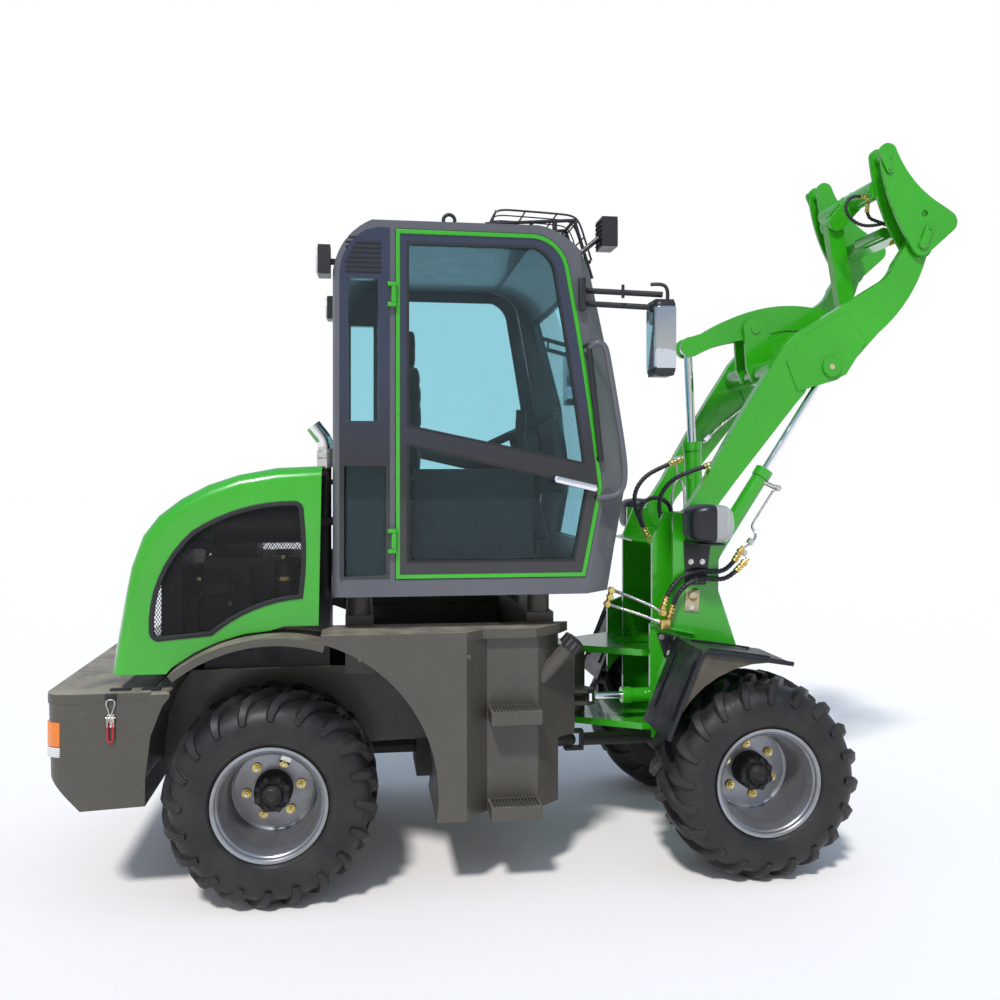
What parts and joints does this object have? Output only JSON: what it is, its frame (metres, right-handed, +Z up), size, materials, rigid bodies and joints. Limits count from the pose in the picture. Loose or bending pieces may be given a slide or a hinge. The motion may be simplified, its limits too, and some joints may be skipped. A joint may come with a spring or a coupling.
{
  "type": "compact articulated wheel loader",
  "caption": "Compact articulated wheel loader with a glazed cab, a raised lift arm, a rocker linkage and a quick coupler.",
  "frame": {"origin": "middle of the overall footprint, on the ground", "axes": "+X forward, +Y to the machine's left, +Z up"},
  "size_m": [3.7057, 1.66, 3.011],
  "materials": {
    "green_paint": "glossy green enamel",
    "dark_paint": "satin warm dark grey enamel",
    "cab_paint": "satin dark grey enamel",
    "engine_grey": "painted castings",
    "black_plastic": "moulded black plastic",
    "seat_fabric": "dark woven seat cover",
    "glass": "lightly tinted safety glass",
    "screen": "dark woven mesh",
    "tyre": "black tyre rubber",
    "rim_paint": "silver enamel",
    "chrome": "polished hard chrome",
    "steel": "bare steel"
  },
  "bodies": {
    "rear_frame": {"rear_chassis": "dark_paint", "rear_axle": "dark_paint", "counterweight": "dark_paint", "engine": "engine_grey", "engine_fittings": "engine_grey", "driveline": "engine_grey", "rear_fenders": "dark_paint", "side_tanks": "dark_paint", "steps": "dark_paint", "cab_frame": "cab_paint", "cab_roof": "cab_paint", "cab_glass": "glass", "cab_interior": "black_plastic", "seat_cushions": "seat_fabric", "exhaust": "steel", "cab_fittings": "black_plastic", "work_lights": "black_plastic"},
    "hood": {"hood": "green_paint", "hood_screens": "screen"},
    "door_right": {"door_right": "cab_paint", "door_right_glass": "glass"},
    "door_left": {"door_left": "cab_paint", "door_left_glass": "glass"},
    "front_frame": {"front_frame": "green_paint", "front_axle": "dark_paint", "front_shaft": "engine_grey", "front_fenders": "black_plastic", "headlamps": "black_plastic"},
    "boom": {"boom": "green_paint"},
    "rocker": {"rocker": "green_paint"},
    "link": {"link": "green_paint"},
    "coupler": {"coupler": "green_paint"},
    "lift_barrels": {"lift_barrels": "green_paint"},
    "lift_rods": {"lift_rods": "chrome"},
    "tilt_barrel": {"tilt_barrel": "green_paint"},
    "tilt_rod": {"tilt_rod": "chrome"},
    "steer_barrel": {"steer_barrel": "green_paint"},
    "steer_rod": {"steer_rod": "chrome"},
    "wheel_rear_right": {"tyre_rear_right": "tyre", "rim_rear_right": "rim_paint"},
    "wheel_rear_left": {"tyre_rear_left": "tyre", "rim_rear_left": "rim_paint"},
    "wheel_front_right": {"tyre_front_right": "tyre", "rim_front_right": "rim_paint"},
    "wheel_front_left": {"tyre_front_left": "tyre", "rim_front_left": "rim_paint"}
  },
  "joints": [
    {"name": "articulation", "type": "hinge", "parent": "rear_frame", "child": "front_frame", "pos_m": [0.197, 0, 0.66], "axis": [0, 0, 1], "range_deg": [-35, 35]},
    {"name": "boom_lift", "type": "hinge", "parent": "front_frame", "child": "boom", "pos_m": [0.667, 0, 1.36], "axis": [0, -1, 0], "range_deg": [-94, 2]},
    {"name": "rocker_tilt", "type": "hinge", "parent": "boom", "child": "rocker", "pos_m": [1.044, 0, 2.235], "axis": [0, -1, 0], "range_deg": [-6, 21]},
    {"name": "link_tilt", "type": "hinge", "parent": "rocker", "child": "link", "pos_m": [1.531, 0, 2.226], "axis": [0, -1, 0], "range_deg": [-49, 13]},
    {"name": "tool_tilt", "type": "hinge", "parent": "boom", "child": "coupler", "pos_m": [1.692, 0, 2.578], "axis": [0, -1, 0], "range_deg": [-60, 15]},
    {"name": "lift_barrels_swing", "type": "hinge", "parent": "front_frame", "child": "lift_barrels", "pos_m": [0.652, 0, 1.079], "axis": [0, -1, 0], "range_deg": [-86, 2.5]},
    {"name": "lift_rods_slide", "type": "slide", "parent": "lift_barrels", "child": "lift_rods", "axis": [0.5458, 0, 0.8379], "range_m": [-0.375, 0.012]},
    {"name": "tilt_barrel_swing", "type": "hinge", "parent": "front_frame", "child": "tilt_barrel", "pos_m": [0.79, 0, 1.29], "axis": [0, -1, 0], "range_deg": [-97, 3]},
    {"name": "tilt_rod_slide", "type": "slide", "parent": "tilt_barrel", "child": "tilt_rod", "axis": [-0.0486, 0, 0.9988], "range_m": [-0.212, 0.006]},
    {"name": "steer_barrel_swing", "type": "hinge", "parent": "front_frame", "child": "steer_barrel", "pos_m": [0.677, -0.18, 0.625], "axis": [0, 0, 1], "range_deg": [-4, 4]},
    {"name": "steer_rod_slide", "type": "slide", "parent": "steer_barrel", "child": "steer_rod", "axis": [-0.9997, -0.0234, 0], "range_m": [-0.107, 0.107]},
    {"name": "hood_open", "type": "hinge", "parent": "rear_frame", "child": "hood", "pos_m": [-0.903, 0, 1.582], "axis": [0, 1, 0], "range_deg": [0, 50]},
    {"name": "door_right_swing", "type": "hinge", "parent": "rear_frame", "child": "door_right", "pos_m": [-0.605, -0.645, 1.8], "axis": [0, 0, -1], "range_deg": [0, 90]},
    {"name": "door_left_swing", "type": "hinge", "parent": "rear_frame", "child": "door_left", "pos_m": [-0.605, 0.645, 1.8], "axis": [0, 0, 1], "range_deg": [0, 90]},
    {"name": "wheel_rear_right_spin", "type": "hinge", "parent": "rear_frame", "child": "wheel_rear_right", "pos_m": [-1.053, -0.553, 0.391], "axis": [0, 1, 0], "continuous": true},
    {"name": "wheel_rear_left_spin", "type": "hinge", "parent": "rear_frame", "child": "wheel_rear_left", "pos_m": [-1.053, 0.553, 0.391], "axis": [0, 1, 0], "continuous": true},
    {"name": "wheel_front_right_spin", "type": "hinge", "parent": "front_frame", "child": "wheel_front_right", "pos_m": [0.827, -0.553, 0.391], "axis": [0, 1, 0], "continuous": true},
    {"name": "wheel_front_left_spin", "type": "hinge", "parent": "front_frame", "child": "wheel_front_left", "pos_m": [0.827, 0.553, 0.391], "axis": [0, 1, 0], "continuous": true}
  ],
  "couplings": [
    {"joint": "lift_barrels_swing", "follows": "boom_lift", "ratio": 0.905},
    {"joint": "lift_rods_slide", "follows": "boom_lift", "m_per_rad": 0.225},
    {"joint": "tilt_barrel_swing", "follows": "boom_lift", "ratio": 1.02},
    {"joint": "tilt_rod_slide", "follows": "boom_lift", "m_per_rad": 0.128},
    {"joint": "rocker_tilt", "follows": "tool_tilt", "ratio": -0.32},
    {"joint": "link_tilt", "follows": "tool_tilt", "ratio": 0.79},
    {"joint": "steer_barrel_swing", "follows": "articulation", "ratio": 0.1},
    {"joint": "steer_rod_slide", "follows": "articulation", "m_per_rad": 0.172}
  ]
}
